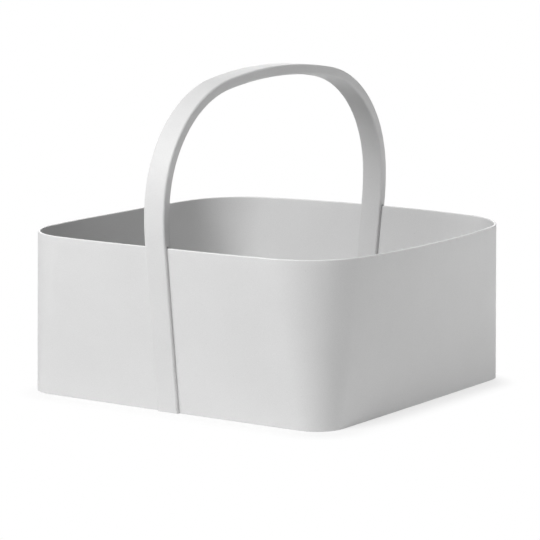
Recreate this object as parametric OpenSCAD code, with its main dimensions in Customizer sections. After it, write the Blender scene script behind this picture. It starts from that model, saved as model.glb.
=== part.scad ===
// Storage basket: a flared rounded-square basket of thin formed panel with one fixed arched handle.
// Frame: millimetres, +Z up, origin at the middle of the footprint on the floor.
// The handle stands in the YZ plane. Its near leg sits on the middle of the -Y wall, and its far leg
// on the +Y wall, a little off the middle and off upright, as it was glued.

/* [Walls] */
// Outer width of the basket at the floor, along X
base_width = 314; // [290:1:325]
// Outer depth of the basket at the floor, along Y
base_depth = 298; // [280:1:310]
// Outer width of the basket at the rim, along X
rim_width = 339; // [330:1:360]
// Outer depth of the basket at the rim, along Y
rim_depth = 330; // [316:1:340]
// Height of the rim above the floor, in the middles of the -Y and +Y walls
wall_height = 141.5; // [125:0.5:155]
// Depth of the gentle dip of the rim in the middles of the -X and +X walls
side_dip = 2; // [0:0.5:6]
// Thickness of the formed wall panel
wall_thickness = 2.2; // [1.6:0.1:3]
// Outer corner radius at the floor
base_corner = 26; // [20:1:50]
// Outer corner radius at the rim
rim_corner = 63; // [40:1:75]
// Angle that half a floor side turns through before its corner starts
base_turn_angle = 0.5; // [0.5:0.5:3]
// Angle that half a rim side turns through before its corner starts
rim_turn_angle = 7.5; // [5:0.5:14]
// Straight length in the middle of every side, where a leg can lie flat
flat_length = 32; // [32:1:44]
// Radius that eases both edges of the rim
rim_round = 0.8; // [0.4:0.1:0.8]

/* [Base board] */
// Thickness of the board that closes the bottom
board_thickness = 5; // [3:0.5:8]
// Height of the underside of the board above the floor
board_rise = 3; // [1:0.5:10]

/* [Handle] */
// Width of the handle strip, along X
strip_width = 21; // [16:0.5:21]
// Thickness of the outer ply, which runs down outside the walls
outer_ply = 3; // [2.4:0.1:5]
// Thickness of the inner ply, which runs down inside the walls
inner_ply = 3.7; // [2.4:0.1:5]
// Radius that eases the long edges of the handle
edge_round = 1.8; // [0.6:0.1:2]
// Height of the top of the handle above the floor
handle_height = 282; // [268:1:290]
// Straight rise of each leg above the rim before the arch starts to bend
spring_rise = 3; // [2:1:20]
// Angle of the gentle bend at the start of the arch
lower_turn_angle = 12; // [10:1:14]
// Angle of the shoulder bend
shoulder_turn_angle = 75; // [70:0.5:77]
// Radius of the shoulder bend, on the line between outer ply and wall
shoulder_radius = 106; // [100:0.5:112]
// Gap left between the rim and the bottom of the slot in the handle
slot_gap = 0.8; // [0.4:0.1:1.2]
// Distance at the rim from the middle of the far leg to the middle of its wall, along X
far_leg_shift = 4.5; // [0:0.5:5]
// Angle that the far leg stands off upright, along X
far_leg_angle = 1.6; // [0:0.2:2]

/* [Hidden] */
// Facets along the bow and the corner of an outline
bow_steps = 8;
corner_steps = 14;
// Levels up the wall
wall_levels = 5;
// Facets round an eased edge
ease_steps = 3;
// Facets along the bends of the handle
lower_steps = 4;
shoulder_steps = 22;
crown_steps = 6;

// Angle that the middle of a -Y or +Y wall leans outward from upright
lean = atan2((rim_depth - base_depth) / 2, wall_height);
// The core ply fills the same gap as the wall between the two other plies
core_ply = wall_thickness * cos(lean);
board_top = board_rise + board_thickness;
slot_top = wall_height + slot_gap;
spring_height = wall_height + spring_rise;
crown_height = handle_height - outer_ply;

function reversed(list) = [for (i = [len(list) - 1 : -1 : 0]) list[i]];
function rest_of(list) = [for (i = [1 : len(list) - 1]) list[i]];
function mix(a, b, share) = a * (1 - share) + b * share;

// Points of an arc from a start point, while its outward normal turns from one angle to another
function arc_points(start, radius, from_angle, to_angle, steps) =
    [for (i = [0 : steps])
        let (angle = mix(from_angle, to_angle, i / steps))
        start + radius * [cos(angle) - cos(from_angle), sin(angle) - sin(from_angle)]];

// One quarter of an outline from the middle of the +X side to the middle of the +Y side.
// Both sides turn by the same angle, and their bow radii follow from the sizes.
function quarter(half_x, half_y, corner, turn) =
    let (
        flat_half = flat_length / 2,
        reach = corner * (cos(turn) - sin(turn)),
        a = half_x - flat_half - reach,
        b = half_y - flat_half - reach,
        c = 1 - cos(turn),
        s = sin(turn),
        bow_x = (a * c - b * s) / (c * c - s * s),
        bow_y = (b * c - a * s) / (c * c - s * s),
        flat_end = [half_x, flat_half],
        first = arc_points(flat_end, bow_x, 0, turn, bow_steps),
        second = arc_points(first[bow_steps], corner, turn, 90 - turn, corner_steps),
        third = arc_points(second[corner_steps], bow_y, 90 - turn, 90, bow_steps)
    )
    concat(
        [[half_x, 0]],
        first,
        rest_of(second),
        rest_of(third),
        [[0, half_y]]
    );

// Outline of the wall at a height, moved inward from the outer face
function wall_quarter(inward, height) =
    let (
        low = quarter(base_width / 2 - inward, base_depth / 2 - inward, base_corner - inward, base_turn_angle),
        high = quarter(rim_width / 2 - inward, rim_depth / 2 - inward, rim_corner - inward, rim_turn_angle),
        share = height / wall_height
    )
    [for (i = [0 : len(low) - 1]) mix(low[i], high[i], share)];

// A height on the wall, lowered toward the middles of the -X and +X walls in step with the rim
function dipped(point, height) =
    height * (1 - side_dip / wall_height * point[0] * point[0] / (point * point));

// Half an outline, from the middle of the -Y side round the +X side to the middle of the +Y side
function half_outline(inward, height) =
    let (points = wall_quarter(inward, height))
    concat(
        [for (p = reversed(points)) [p[0], -p[1], dipped(p, height)]],
        [for (p = rest_of(points)) [p[0], p[1], dipped(p, height)]]
    );

// The whole outline, level, without the points in the middles of the -Y and +Y sides
function full_outline(inward, height) =
    let (half = half_outline(inward, height), last = len(half) - 1)
    concat(
        [for (i = [1 : last - 1]) [half[i][0], half[i][1], height]],
        [for (i = [last - 1 : -1 : 1]) [-half[i][0], half[i][1], height]]
    );

// Triangles between neighbouring sections of a closed ring of points
function skin_faces(sections, count) =
    [for (i = [0 : sections - 2], j = [0 : count - 1])
        let (
            next = (j + 1) % count,
            here = i * count + j,
            beside = i * count + next,
            ahead = here + count,
            across = beside + count
        )
        each [[here, beside, across], [here, across, ahead]]];

// Triangles across an end ring, between the points that face each other on its two sides
function cap_faces(start, count) =
    [for (j = [0 : count / 2 - 2])
        let (
            near = start + j,
            far = start + count - 1 - j
        )
        each [[near, far, near + 1], [near + 1, far, far - 1]]];

// A closed solid through a list of sections, each one a ring of an even number of points
module skin(sections) {
    count = len(sections[0]);
    last = len(sections) - 1;
    polyhedron(
        points = [for (ring = sections) each ring],
        faces = concat(
            skin_faces(last + 1, count),
            cap_faces(0, count),
            [for (face = cap_faces(last * count, count)) reversed(face)]
        ),
        convexity = 10
    );
}

// Section through the wall as pairs of inward distance and height, round from the outer foot
function wall_section() =
    let (eased = wall_height - rim_round)
    concat(
        [for (i = [0 : wall_levels]) [0, eased * i / wall_levels]],
        [for (i = [1 : ease_steps])
            let (angle = 90 * i / ease_steps)
            [rim_round * (1 - cos(angle)), eased + rim_round * sin(angle)]],
        [for (i = [ease_steps : -1 : 0])
            let (angle = 90 * i / ease_steps)
            [wall_thickness - rim_round * (1 - cos(angle)), eased + rim_round * sin(angle)]],
        [for (i = [wall_levels - 1 : -1 : 0]) [wall_thickness, eased * i / wall_levels]]
    );

module shell_half() {
    rails = [for (pair = wall_section()) half_outline(pair[0], pair[1])];
    skin([for (i = [0 : len(rails[0]) - 1]) [for (rail = rails) rail[i]]]);
}

module shell_right() {
    color("gainsboro")
        shell_half();
}

module shell_left() {
    color("lightgray")
        mirror([1, 0, 0])
            shell_half();
}

// The edge follows the lean of the walls, so the board wedges in from above and is glued there
module base_board() {
    color("silver")
        skin([full_outline(wall_thickness, board_top), full_outline(wall_thickness, board_rise)]);
}

// A station is a point on the line between outer ply and wall, the way outward from it, and
// how much it takes part in the sideways shift of the far leg, from 0 to 1.
// On a cut across a leg the way outward is level, and longer by the lean.
function leg_station(height) =
    [[-base_depth / 2 - tan(lean) * height, height], [-1 / cos(lean), 0], 0];

// Stations along a bend, after the first one. The heading is the angle from upright toward +Y.
function bend_stations(start, radius, from_heading, to_heading, steps) =
    [for (i = [1 : steps])
        let (heading = mix(from_heading, to_heading, i / steps))
        [
            start + radius * [
                cos(from_heading) - cos(heading),
                sin(heading) - sin(from_heading)
            ],
            [-cos(heading), sin(heading)],
            (1 - cos(max(heading, 0))) / 2
        ]];

// The way that a bend of unit radius covers
function bend_way(from_heading, to_heading) =
    [cos(from_heading) - cos(to_heading), sin(to_heading) - sin(from_heading)];

// Half the handle, from a cut across the leg to the crown.
// The lower and crown radii follow from where the arch starts and how high it is.
function half_path(foot_height) =
    let (
        spring = leg_station(spring_height)[0],
        low_end = lower_turn_angle - lean,
        shoulder_end = low_end + shoulder_turn_angle,
        low_way = bend_way(-lean, low_end),
        crown_way = bend_way(shoulder_end, 90),
        way = [0, crown_height] - spring - shoulder_radius * bend_way(low_end, shoulder_end),
        spread = low_way[0] * crown_way[1] - low_way[1] * crown_way[0],
        low_radius = (way[0] * crown_way[1] - way[1] * crown_way[0]) / spread,
        crown_radius = (low_way[0] * way[1] - low_way[1] * way[0]) / spread,
        low_bend = bend_stations(spring, low_radius, -lean, low_end, lower_steps),
        shoulder_start = low_bend[lower_steps - 1][0],
        shoulder = bend_stations(shoulder_start, shoulder_radius, low_end, shoulder_end, shoulder_steps),
        crown_start = shoulder[shoulder_steps - 1][0],
        crown = bend_stations(crown_start, crown_radius, shoulder_end, 90, crown_steps)
    )
    concat(
        [leg_station(foot_height)],
        [[spring, [-cos(lean), -sin(lean)], 0]],
        low_bend,
        shoulder,
        crown
    );

function handle_path(foot_height) =
    let (half = half_path(foot_height), last = len(half) - 1)
    concat(
        half,
        [for (i = [last - 1 : -1 : 0])
            let (at = half[i][0], outward = half[i][1])
            [[-at[0], at[1]], [-outward[0], outward[1]], 1 - half[i][2]]]
    );

// Distance along X that a point at a height is shifted by
function sideways(height, share) =
    share * (far_leg_shift + tan(far_leg_angle) * (height - wall_height));

// Sweeps a section, given as pairs of X and outward distance, along the handle
module sweep(section, foot_height) {
    skin([for (station = handle_path(foot_height))
        [for (pair = section)
            let (at = station[0] + pair[1] * station[1])
            [pair[0] + sideways(at[1], station[2]), at[0], at[1]]]]);
}

// Section of a ply from its square side to its eased side.
// The way is 1 for a ply that lies outside its square side, and -1 for one that lies inside it.
function eased_ply(square_side, thickness, way) =
    let (
        half = strip_width / 2,
        ease = [for (i = [0 : ease_steps])
            let (angle = 90 * i / ease_steps)
            [
                half - edge_round * (1 - cos(angle)),
                square_side + way * (thickness - edge_round * (1 - sin(angle)))
            ]],
        ring = concat(
            [[-half, square_side], [half, square_side]],
            ease,
            [for (p = reversed(ease)) [-p[0], p[1]]]
        )
    )
    way > 0 ? ring : reversed(ring);

module handle_outer_ply() {
    color("whitesmoke")
        sweep(eased_ply(0, outer_ply, 1), 0);
}

module handle_core_ply() {
    half = strip_width / 2;
    color("tan")
        sweep([[-half, 0], [-half, -core_ply], [half, -core_ply], [half, 0]], slot_top);
}

module handle_inner_ply() {
    color("white")
        sweep(eased_ply(-core_ply, inner_ply, -1), board_top);
}

shell_left();
shell_right();
base_board();
handle_outer_ply();
handle_core_ply();
handle_inner_ply();
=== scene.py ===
import math

import bpy
from mathutils import Matrix, Vector


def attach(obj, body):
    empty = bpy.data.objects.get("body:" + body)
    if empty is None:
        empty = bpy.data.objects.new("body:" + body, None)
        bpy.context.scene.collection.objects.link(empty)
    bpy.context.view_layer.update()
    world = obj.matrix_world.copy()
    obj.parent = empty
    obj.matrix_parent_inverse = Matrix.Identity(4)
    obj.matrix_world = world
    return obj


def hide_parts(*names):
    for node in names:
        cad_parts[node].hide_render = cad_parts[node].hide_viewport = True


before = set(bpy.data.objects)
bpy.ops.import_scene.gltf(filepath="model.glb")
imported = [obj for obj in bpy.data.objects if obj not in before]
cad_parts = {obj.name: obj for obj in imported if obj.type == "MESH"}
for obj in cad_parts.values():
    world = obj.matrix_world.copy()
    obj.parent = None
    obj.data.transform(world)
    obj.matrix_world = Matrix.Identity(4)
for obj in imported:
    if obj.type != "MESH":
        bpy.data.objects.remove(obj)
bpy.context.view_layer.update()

# Sizes in millimetres, the same as in the part's source
BASE_WIDTH = 314.0
BASE_DEPTH = 298.0
RIM_WIDTH = 339.0
RIM_DEPTH = 330.0
WALL_HEIGHT = 141.5
SIDE_DIP = 2.0
WALL_THICKNESS = 2.2
BASE_CORNER = 26.0
RIM_CORNER = 63.0
BASE_TURN = math.radians(0.5)
RIM_TURN = math.radians(7.5)
FLAT_HALF = 16.0
RIM_ROUND = 0.8
FOOT_ROUND = 0.35
BOARD_THICKNESS = 5.0
BOARD_RISE = 3.0
BOARD_ROUND = 0.5
STRIP_WIDTH = 21.0
OUTER_PLY = 3.0
INNER_PLY = 3.7
EDGE_ROUND = 1.8
HANDLE_HEIGHT = 282.0
SPRING_RISE = 3.0
LOWER_TURN = math.radians(12.0)
SHOULDER_TURN = math.radians(75.0)
SHOULDER_RADIUS = 106.0
SLOT_GAP = 0.8
FAR_LEG_SHIFT = 4.5
FAR_LEG_TILT = math.radians(1.6)

# Small forms that only the scene has: a chamfer of the tongues toward the wall, which closes over the
# last stretch below the rim, and a slot that is a little taller, so that it shows as in the photo
TONGUE_CHAMFER = 0.5
CLOSED_CHAMFER = 0.01
CHAMFER_DROP = 1.0
SLOT_EXTRA = 0.4

# Sizes and places that follow from the ones above
LEAN = math.atan2((RIM_DEPTH - BASE_DEPTH) / 2, WALL_HEIGHT)
CORE_PLY = WALL_THICKNESS * math.cos(LEAN)
BOARD_TOP = BOARD_RISE + BOARD_THICKNESS
SPRING_HEIGHT = WALL_HEIGHT + SPRING_RISE
SLOT_TOP = WALL_HEIGHT + SLOT_GAP + SLOT_EXTRA
# Distance from the end of a rounding at which an extra edge keeps the flat beside it flat
HOLD = 0.25

# A millimetre in metres, and a quarter turn in radians
MM = 0.001
QUARTER_TURN = math.pi / 2

# How finely the curved pieces are divided
BOW_STEPS = 14
CORNER_STEPS = 32
WALL_LEVELS = 22
EASE_STEPS = 6
LOWER_STEPS = 6
SHOULDER_STEPS = 64
CROWN_STEPS = 18
LEG_STEPS = 12
SHARP_ANGLE = math.radians(38)


# Mesh helpers

def new_piece(name, points, faces, node):
    """A smooth mesh piece from points in millimetres, which stands for a CAD node."""
    mesh = bpy.data.meshes.new(name)
    mesh.from_pydata([Vector(p) * MM for p in points], [], faces)
    mesh.validate()
    mesh.polygons.foreach_set("use_smooth", [True] * len(mesh.polygons))
    mesh.set_sharp_from_angle(angle=SHARP_ANGLE)
    mesh.update()
    piece = bpy.data.objects.new(name, mesh)
    bpy.context.scene.collection.objects.link(piece)
    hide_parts(node)
    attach(piece, "root")
    return piece


def skin(sections, flip=False):
    """Points and faces of a closed solid through rings with the same number of points."""
    count = len(sections[0])
    points = [p for ring in sections for p in ring]
    faces = []
    for i in range(len(sections) - 1):
        for j in range(count):
            k = (j + 1) % count
            faces.append((i * count + j, i * count + k, (i + 1) * count + k, (i + 1) * count + j))
    last = (len(sections) - 1) * count
    half = count // 2
    for j in range(half - 1):
        faces.append((j, j + 1, count - 2 - j, count - 1 - j)[::-1])
        faces.append((last + j, last + j + 1, last + count - 2 - j, last + count - 1 - j))
    if flip:
        faces = [f[::-1] for f in faces]
    return points, faces


def mix(a, b, share):
    """The value at a share of the way from a to b."""
    return a * (1 - share) + b * share


def quarter_turns():
    """Pairs of sine and cosine from 0 to a quarter turn, for a rounded edge."""
    angles = [QUARTER_TURN * i / EASE_STEPS for i in range(EASE_STEPS + 1)]
    return [(math.sin(angle), math.cos(angle)) for angle in angles]


# Walls

def arc_points(start, radius, from_angle, to_angle, steps):
    """Points of an arc after its start, while its outward normal turns."""
    out = []
    for i in range(1, steps + 1):
        angle = mix(from_angle, to_angle, i / steps)
        out.append((
            start[0] + radius * (math.cos(angle) - math.cos(from_angle)),
            start[1] + radius * (math.sin(angle) - math.sin(from_angle)),
        ))
    return out


def quarter(half_x, half_y, corner, turn):
    """A quarter of an outline, from the middle of the +X side to the middle of the +Y side.

    The radii of the two bowed stretches follow from the room that the flats and the corner leave.
    """
    reach = corner * (math.cos(turn) - math.sin(turn))
    room_x = half_x - FLAT_HALF - reach
    room_y = half_y - FLAT_HALF - reach
    fall = 1 - math.cos(turn)
    run = math.sin(turn)
    spread = fall * fall - run * run
    bow_x = (room_x * fall - room_y * run) / spread
    bow_y = (room_y * fall - room_x * run) / spread
    points = [(half_x, 0.0), (half_x, FLAT_HALF)]
    points += arc_points(points[-1], bow_x, 0, turn, BOW_STEPS)
    points += arc_points(points[-1], corner, turn, QUARTER_TURN - turn, CORNER_STEPS)
    points += arc_points(points[-1], bow_y, QUARTER_TURN - turn, QUARTER_TURN, BOW_STEPS)
    points.append((0.0, half_y))
    return points


def dipped(x, y, height):
    """A height on the wall, lowered toward the middles of the -X and +X walls."""
    return height * (1 - SIDE_DIP / WALL_HEIGHT * x * x / (x * x + y * y))


def half_outline(inward, height):
    """Half the wall's outline at a height, from the middle of the -Y side round +X."""
    low = quarter(BASE_WIDTH / 2 - inward, BASE_DEPTH / 2 - inward, BASE_CORNER - inward, BASE_TURN)
    high = quarter(RIM_WIDTH / 2 - inward, RIM_DEPTH / 2 - inward, RIM_CORNER - inward, RIM_TURN)
    share = height / WALL_HEIGHT
    points = [(mix(foot[0], rim[0], share), mix(foot[1], rim[1], share)) for foot, rim in zip(low, high)]
    near = [(x, -y, dipped(x, y, height)) for x, y in reversed(points)]
    return near + [(x, y, dipped(x, y, height)) for x, y in points[1:]]


def full_outline(inward, height):
    """The whole outline at a height, level and without the dip."""
    half = half_outline(inward, height)[1:-1]
    return [(x, y, height) for x, y, z in half] + [(-x, y, height) for x, y, z in reversed(half)]


def wall_section():
    """Pairs of inward distance and height round the wall's section, from the outer foot."""
    low = FOOT_ROUND
    high = WALL_HEIGHT - RIM_ROUND
    section = [(FOOT_ROUND * (1 - sine), FOOT_ROUND * (1 - cosine)) for sine, cosine in quarter_turns()]
    section += [(0.0, mix(low, high, i / WALL_LEVELS)) for i in range(1, WALL_LEVELS)]
    section += [(RIM_ROUND * (1 - cosine), high + RIM_ROUND * sine) for sine, cosine in quarter_turns()]
    inner = [(WALL_THICKNESS - inward, height) for inward, height in reversed(section)]
    return section + inner


def shell(name, node, side):
    """Half of the wall, on the -X or +X side, with a mask on the rounding of its rim for a painted
    highlight and a glossier paint.
    """
    profile = wall_section()
    rails = [[(side * x, y, z) for x, y, z in half_outline(inward, height)]
             for inward, height in profile]
    sections = [[rail[i] for rail in rails] for i in range(len(rails[0]))]
    points, faces = skin(sections, flip=side > 0)
    piece = new_piece(name, points, faces, node)
    # The rounding of the rim is marked for a painted highlight and a glossier paint
    highlight_and_gloss_mask = [1.0 if height > WALL_HEIGHT - RIM_ROUND else 0.0 for inward, height in profile]
    mark = piece.data.attributes.new(RIM_HIGHLIGHT_AND_GLOSS, "FLOAT", "POINT")
    mark.data.foreach_set("value", highlight_and_gloss_mask * len(sections))
    return piece


def base_board():
    """The board, with its upper and lower edges eased and its rim following the walls."""
    rings = [(BOARD_ROUND * (1 - sine), BOARD_RISE + BOARD_ROUND * (1 - cosine))
             for sine, cosine in quarter_turns()]
    rings += [(BOARD_ROUND * (1 - cosine), BOARD_TOP - BOARD_ROUND * (1 - sine))
              for sine, cosine in quarter_turns()]
    sections = [full_outline(WALL_THICKNESS + inward, height) for inward, height in rings]
    points, faces = skin(sections)
    return new_piece("base_panel", points, faces, "base_board")


# Handle

def leg_station(height):
    """A station on a straight leg, cut level at a height, with the same three parts as on a bend."""
    return (-BASE_DEPTH / 2 - math.tan(LEAN) * height, height), (-1 / math.cos(LEAN), 0.0), 0.0


def bend_way(from_heading, to_heading):
    """The way in Y and Z along a bend of radius 1. A heading of 0 goes up, a quarter turn goes to +Y."""
    return (math.cos(from_heading) - math.cos(to_heading), math.sin(to_heading) - math.sin(from_heading))


def bend_stations(start, radius, from_heading, to_heading, steps):
    """Stations of a bend after its start.

    Each gives Y and Z of the face between outer ply and core, the way outward from that face, and
    the share of the far leg's sideways shift.
    """
    out = []
    for i in range(1, steps + 1):
        heading = mix(from_heading, to_heading, i / steps)
        way = bend_way(from_heading, heading)
        out.append(((start[0] + radius * way[0], start[1] + radius * way[1]),
                    (-math.cos(heading), math.sin(heading)),
                    (1 - math.cos(max(heading, 0.0))) / 2))
    return out


def handle_path(foot_height):
    """Stations of the handle from a cut across one leg over the crown to the other.

    The radii of the low bend and the crown follow from the way that the shoulder leaves.
    """
    spring = leg_station(SPRING_HEIGHT)[0]
    low_end = LOWER_TURN - LEAN
    shoulder_end = low_end + SHOULDER_TURN
    low_way = bend_way(-LEAN, low_end)
    crown_way = bend_way(shoulder_end, QUARTER_TURN)
    shoulder_way = bend_way(low_end, shoulder_end)
    way = (-spring[0] - SHOULDER_RADIUS * shoulder_way[0],
           HANDLE_HEIGHT - OUTER_PLY - spring[1] - SHOULDER_RADIUS * shoulder_way[1])
    spread = low_way[0] * crown_way[1] - low_way[1] * crown_way[0]
    low_radius = (way[0] * crown_way[1] - way[1] * crown_way[0]) / spread
    crown_radius = (low_way[0] * way[1] - low_way[1] * way[0]) / spread
    heights = [SLOT_TOP]
    if foot_height < WALL_HEIGHT:
        top = WALL_HEIGHT - CHAMFER_DROP
        heights = [mix(foot_height, top, i / LEG_STEPS) for i in range(LEG_STEPS + 1)] + heights
    half = [leg_station(height) for height in heights]
    half.append((spring, (-math.cos(LEAN), -math.sin(LEAN)), 0.0))
    half += bend_stations(half[-1][0], low_radius, -LEAN, low_end, LOWER_STEPS)
    half += bend_stations(half[-1][0], SHOULDER_RADIUS, low_end, shoulder_end, SHOULDER_STEPS)
    half += bend_stations(half[-1][0], crown_radius, shoulder_end, QUARTER_TURN, CROWN_STEPS)
    far = [((-at[0], at[1]), (-out[0], out[1]), 1 - share) for at, out, share in reversed(half[:-1])]
    return half + far


def sweep(section, foot_height):
    """Rings along the handle. The section gives pairs of X and outward distance for a chamfer."""
    rings = []
    for at, way, share in handle_path(foot_height):
        chamfer = TONGUE_CHAMFER if at[1] < WALL_HEIGHT else CLOSED_CHAMFER
        ring = []
        for x, out in section(chamfer):
            y, z = at[0] + out * way[0], at[1] + out * way[1]
            shift = share * (FAR_LEG_SHIFT + math.tan(FAR_LEG_TILT) * (z - WALL_HEIGHT))
            ring.append((x + shift, y, z))
        rings.append(ring)
    return rings


def eased_ply(square_side, thickness, way):
    """The section of a ply that is rounded on one face and has the tongue's chamfer on the other."""
    def section(chamfer):
        half = STRIP_WIDTH / 2
        side = [(half - chamfer, 0.0), (half, chamfer), (half, thickness - EDGE_ROUND - HOLD)]
        side += [(half - EDGE_ROUND * (1 - cosine), thickness - EDGE_ROUND * (1 - sine))
                 for sine, cosine in quarter_turns()]
        side.append((half - EDGE_ROUND - HOLD, thickness))
        ring = side + [(-x, depth) for x, depth in reversed(side)]
        return [(x, square_side + way * depth) for x, depth in ring]
    return section


def core_section(chamfer):
    """The core ply is square and keeps its edges, whatever the chamfer of the tongues."""
    half = STRIP_WIDTH / 2
    return [(half, 0.0), (half, -CORE_PLY), (-half, -CORE_PLY), (-half, 0.0)]


def handle_ply(name, node, section, foot_height, flip=False):
    """One ply of the handle, cut off level at both feet."""
    points, faces = skin(sweep(section, foot_height), flip=flip)
    return new_piece(name, points, faces, node)


# Materials

# Scales are in features to a metre and depths in metres. A tone is the largest change of the paint
# to either side
NOISE_RANGE = (0.3, 0.7)
MOTTLE_TONE = 0.015
SPECKLE_SCALE = 1500
SPECKLE_RANGE = (0.25, 0.75)
SPECKLE_TONE = 0.04
# Flecks are dark specks, one to a cell, with a core and a soft edge in shares of the cell
FLECK_SCALE = 60
FLECK_RANGE = (0.012, 0.024)
FLECK_SHADE = 0.8
GLOSS_SCALE = 240
GLOSS_CHANGE = 0.05
GRAIN_SCALE = 1100
GRAIN_DEPTH = 0.0002
SPECULAR_LEVEL = 0.3
# Factors on the paint's colour and roughness on the rounding of the wall's rim: the paler colour there is
# a painted highlight that makes the rim show as a bright line, and the lower roughness makes it glossier
RIM_HIGHLIGHT_AND_GLOSS = "rim_highlight_and_gloss"
RIM_PAINTED_HIGHLIGHT = 1.12
EDGE_SMOOTHNESS = 0.4


def paint(name, grey, mottle_scale, grain_bump, roughness):
    """Matt paint with a fine sprayed texture: slow mottle, fine speckle, rare dark specks."""
    material = bpy.data.materials.new(name)
    material.use_nodes = True
    tree = material.node_tree
    nodes, links = tree.nodes, tree.links
    shader = nodes["Principled BSDF"]
    place = nodes.new("ShaderNodeTexCoord")

    def noise(scale, detail, rough=0.5):
        node = nodes.new("ShaderNodeTexNoise")
        node.inputs["Scale"].default_value = scale
        node.inputs["Detail"].default_value = detail
        node.inputs["Roughness"].default_value = rough
        links.new(place.outputs["Object"], node.inputs["Vector"])
        return node.outputs["Fac"]

    def ramp(source, source_range, low_value, high_value):
        node = nodes.new("ShaderNodeMapRange")
        node.inputs["From Min"].default_value = source_range[0]
        node.inputs["From Max"].default_value = source_range[1]
        node.inputs["To Min"].default_value = low_value
        node.inputs["To Max"].default_value = high_value
        links.new(source, node.inputs["Value"])
        return node.outputs["Result"]

    def times(a, b):
        node = nodes.new("ShaderNodeMath")
        node.operation = "MULTIPLY"
        links.new(a, node.inputs[0])
        links.new(b, node.inputs[1])
        return node.outputs[0]

    mottle = ramp(noise(mottle_scale, detail=3), NOISE_RANGE, 1 - MOTTLE_TONE, 1 + MOTTLE_TONE)
    speckle = ramp(noise(SPECKLE_SCALE, detail=2, rough=0.6), SPECKLE_RANGE,
                   1 - SPECKLE_TONE, 1 + SPECKLE_TONE)
    flecks = nodes.new("ShaderNodeTexVoronoi")
    flecks.inputs["Scale"].default_value = FLECK_SCALE
    flecks.inputs["Randomness"].default_value = 1
    links.new(place.outputs["Object"], flecks.inputs["Vector"])
    fleck = ramp(flecks.outputs["Distance"], FLECK_RANGE, FLECK_SHADE, 1)
    edge = nodes.new("ShaderNodeAttribute")
    edge.attribute_name = RIM_HIGHLIGHT_AND_GLOSS
    # Painted highlight: the marked rim rounding gets a paler colour, which stands in for the light that
    # catches it
    painted_highlight = ramp(edge.outputs["Fac"], (0, 1), 1, RIM_PAINTED_HIGHLIGHT)
    smoother = ramp(edge.outputs["Fac"], (0, 1), 1, EDGE_SMOOTHNESS)

    tint = nodes.new("ShaderNodeMix")
    tint.data_type = "RGBA"
    tint.blend_type = "MULTIPLY"
    tint.inputs["Factor"].default_value = 1
    tint.inputs["A"].default_value = (grey, grey, grey, 1)
    links.new(times(times(times(mottle, speckle), fleck), painted_highlight), tint.inputs["B"])
    links.new(tint.outputs["Result"], shader.inputs["Base Color"])

    gloss = ramp(noise(GLOSS_SCALE, detail=4), NOISE_RANGE,
                 roughness - GLOSS_CHANGE, roughness + GLOSS_CHANGE)
    links.new(times(gloss, smoother), shader.inputs["Roughness"])

    bump = nodes.new("ShaderNodeBump")
    bump.inputs["Strength"].default_value = grain_bump
    bump.inputs["Distance"].default_value = GRAIN_DEPTH
    links.new(noise(GRAIN_SCALE, detail=3, rough=0.55), bump.inputs["Height"])
    links.new(bump.outputs["Normal"], shader.inputs["Normal"])
    shader.inputs["Specular IOR Level"].default_value = SPECULAR_LEVEL
    return material


wall_paint = paint("wall_paint", grey=0.72, mottle_scale=18, grain_bump=0.22, roughness=0.6)
# Painted shade: the board's paint is darker than the walls' so that it throws less light up onto the
# handle's underside and the inner walls
board_paint_darkened_for_shade = paint("board_paint_darkened_for_shade", grey=0.56, mottle_scale=14, grain_bump=0.25, roughness=0.62)
handle_paint = paint("handle_paint", grey=0.71, mottle_scale=26, grain_bump=0.12, roughness=0.42)

# Pieces

left = shell("wall_panel_left", "shell_left", -1)
right = shell("wall_panel_right", "shell_right", 1)
board = base_board()
outer = handle_ply("handle_strip_outer", "handle_outer_ply", eased_ply(0.0, OUTER_PLY, 1), 0.0, flip=True)
core = handle_ply("handle_strip_core", "handle_core_ply", core_section, SLOT_TOP)
inner = handle_ply("handle_strip_inner", "handle_inner_ply", eased_ply(-CORE_PLY, INNER_PLY, -1),
                   BOARD_TOP)

for piece, material in ((left, wall_paint), (right, wall_paint), (board, board_paint_darkened_for_shade),
                        (outer, handle_paint), (core, handle_paint), (inner, handle_paint)):
    piece.data.materials.append(material)

# Stage, in metres and watts

FLOOR_HALF = 6.0
FLOOR_COLOUR = 0.85
# Share of plain white in what the camera sees of the floor, at the basket's foot and away from it.
# It changes over these distances from a rectangle, which lies under the side of the basket that
# faces -Y and +X, because the shadow in the photo is wider on that side
NEAR_WHITE = 0.7
FAR_WHITE = 1.0
FOOT_MIDDLE = (0.01, -0.015, 0)
FOOT_HALF = (0.128, 0.115, 0)
NEAR_DISTANCE = 0.02
FAR_DISTANCE = 0.052
AMBIENT = 0.05
LAMP_AIM_HEIGHT = 0.1


def seen_ray(nodes, links):
    """An output that gives 1 to what looks straight at a surface or at its reflection."""
    path = nodes.new("ShaderNodeLightPath")
    total = path.outputs["Is Camera Ray"]
    for name in ("Is Glossy Ray", "Is Transmission Ray"):
        either = nodes.new("ShaderNodeMath")
        either.operation = "MAXIMUM"
        links.new(total, either.inputs[0])
        links.new(path.outputs[name], either.inputs[1])
        total = either.outputs[0]
    return total


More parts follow.
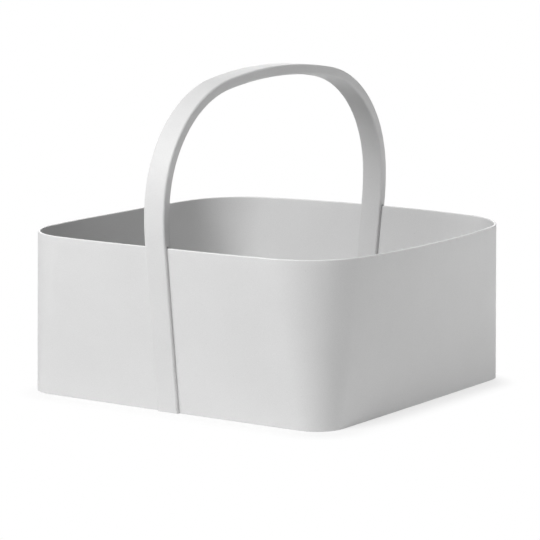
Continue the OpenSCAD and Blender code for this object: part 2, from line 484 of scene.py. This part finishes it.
def stage_floor():
    """A pale floor that keeps the basket's shadow and turns white away from it."""
    mesh = bpy.data.meshes.new("floor")
    corners = [(-FLOOR_HALF, -FLOOR_HALF, 0), (FLOOR_HALF, -FLOOR_HALF, 0),
               (FLOOR_HALF, FLOOR_HALF, 0), (-FLOOR_HALF, FLOOR_HALF, 0)]
    mesh.from_pydata(corners, [], [(0, 1, 2, 3)])
    floor = bpy.data.objects.new("floor", mesh)
    bpy.context.scene.collection.objects.link(floor)
    material = bpy.data.materials.new("floor_white")
    material.use_nodes = True
    nodes, links = material.node_tree.nodes, material.node_tree.links
    nodes.clear()
    diffuse = nodes.new("ShaderNodeBsdfDiffuse")
    diffuse.inputs["Color"].default_value = (FLOOR_COLOUR, FLOOR_COLOUR, FLOOR_COLOUR, 1)
    place = nodes.new("ShaderNodeTexCoord")
    # The distance from the rectangle, one step after the other
    away = place.outputs["Object"]
    for operation, value in (("SUBTRACT", FOOT_MIDDLE), ("ABSOLUTE", None), ("SUBTRACT", FOOT_HALF),
                             ("MAXIMUM", (0, 0, 0)), ("LENGTH", None)):
        step = nodes.new("ShaderNodeVectorMath")
        step.operation = operation
        links.new(away, step.inputs[0])
        if value is not None:
            step.inputs[1].default_value = value
        away = step.outputs["Value" if operation == "LENGTH" else "Vector"]
    fade = nodes.new("ShaderNodeMapRange")
    fade.interpolation_type = "SMOOTHSTEP"
    fade.inputs["From Min"].default_value = NEAR_DISTANCE
    fade.inputs["From Max"].default_value = FAR_DISTANCE
    fade.inputs["To Min"].default_value = NEAR_WHITE
    fade.inputs["To Max"].default_value = FAR_WHITE
    links.new(away, fade.inputs["Value"])
    share = nodes.new("ShaderNodeMath")
    share.operation = "MULTIPLY"
    links.new(seen_ray(nodes, links), share.inputs[0])
    links.new(fade.outputs["Result"], share.inputs[1])
    glow = nodes.new("ShaderNodeEmission")
    glow.inputs["Strength"].default_value = 1
    both = nodes.new("ShaderNodeMixShader")
    links.new(share.outputs[0], both.inputs["Fac"])
    links.new(diffuse.outputs[0], both.inputs[1])
    links.new(glow.outputs[0], both.inputs[2])
    out = nodes.new("ShaderNodeOutputMaterial")
    links.new(both.outputs[0], out.inputs["Surface"])
    floor.data.materials.append(material)


def studio_world():
    """A dim even surround that shows white to the camera and in reflections."""
    world = bpy.data.worlds.new("studio")
    bpy.context.scene.world = world
    world.use_nodes = True
    nodes, links = world.node_tree.nodes, world.node_tree.links
    nodes.clear()
    ambient = nodes.new("ShaderNodeBackground")
    ambient.inputs["Color"].default_value = (1, 1, 1, 1)
    ambient.inputs["Strength"].default_value = AMBIENT
    white = nodes.new("ShaderNodeBackground")
    white.inputs["Color"].default_value = (1, 1, 1, 1)
    pick = nodes.new("ShaderNodeMixShader")
    out = nodes.new("ShaderNodeOutputWorld")
    links.new(seen_ray(nodes, links), pick.inputs["Fac"])
    links.new(ambient.outputs[0], pick.inputs[1])
    links.new(white.outputs[0], pick.inputs[2])
    links.new(pick.outputs[0], out.inputs["Surface"])


def soft_light(name, azimuth, elevation, distance, width, height, power):
    """An area light that faces the basket. Azimuth 0 stands on the -Y side, 90 on the +X side."""
    turn, lift = math.radians(azimuth), math.radians(elevation)
    way = Vector((math.sin(turn) * math.cos(lift), -math.cos(turn) * math.cos(lift), math.sin(lift)))
    light = bpy.data.lights.new(name, "AREA")
    light.shape = "RECTANGLE"
    light.size = width
    light.size_y = height
    light.energy = power
    lamp = bpy.data.objects.new(name, light)
    lamp.location = Vector((0, 0, LAMP_AIM_HEIGHT)) + way * distance
    lamp.rotation_euler = way.to_track_quat("Z", "Y").to_euler()
    lamp.visible_camera = False
    bpy.context.scene.collection.objects.link(lamp)


stage_floor()
studio_world()
soft_light("key_right", -4, 50, 2.2, 1.4, 1.4, 20)
soft_light("key_middle", -10, 45, 2.2, 0.8, 0.8, 15)
soft_light("key_left", -25, 36, 2.2, 0.6, 0.6, 10)
soft_light("side_right", 100, 8, 2.4, 1.6, 0.5, 3)
soft_light("back_low", 210, 15, 2.4, 2.0, 0.5, 5)
soft_light("card_right", 125, -3.3, 0.7, 0.8, 0.1, 0.42)
soft_light("card_low", 114, -6, 0.7, 0.8, 0.04, 0.75)

# Camera

# Fitted to the outlines in the photo. Distances are in metres, the sensor is in millimetres
FOCAL_PIXELS = 2610.0
FRAME_PIXELS = 540.0
CAMERA_AZIMUTH = math.radians(34.316)
CAMERA_ELEVATION = math.radians(8.969)
CAMERA_DISTANCE = 2.297
AIM_HEIGHT = 0.10117
AIM_SIDE = 0.00055
SENSOR = 36.0
CLIP_END = 100


def add_camera():
    """The camera of the photo, which looks at a point near the middle of the basket."""
    back = Vector((
        math.sin(CAMERA_AZIMUTH) * math.cos(CAMERA_ELEVATION),
        -math.cos(CAMERA_AZIMUTH) * math.cos(CAMERA_ELEVATION),
        math.sin(CAMERA_ELEVATION),
    ))
    side = Vector((math.cos(CAMERA_AZIMUTH), math.sin(CAMERA_AZIMUTH), 0))
    up = back.cross(side)
    data = bpy.data.cameras.new("camera")
    data.sensor_width = SENSOR
    data.lens = FOCAL_PIXELS / FRAME_PIXELS * SENSOR
    data.clip_end = CLIP_END
    camera = bpy.data.objects.new("camera", data)
    place = side * AIM_SIDE + Vector((0, 0, AIM_HEIGHT)) + back * CAMERA_DISTANCE
    camera.matrix_world = Matrix.Translation(place) @ Matrix((side, up, back)).transposed().to_4x4()
    bpy.context.scene.collection.objects.link(camera)
    bpy.context.scene.camera = camera


add_camera()

bpy.context.scene.view_settings.view_transform = "Standard"
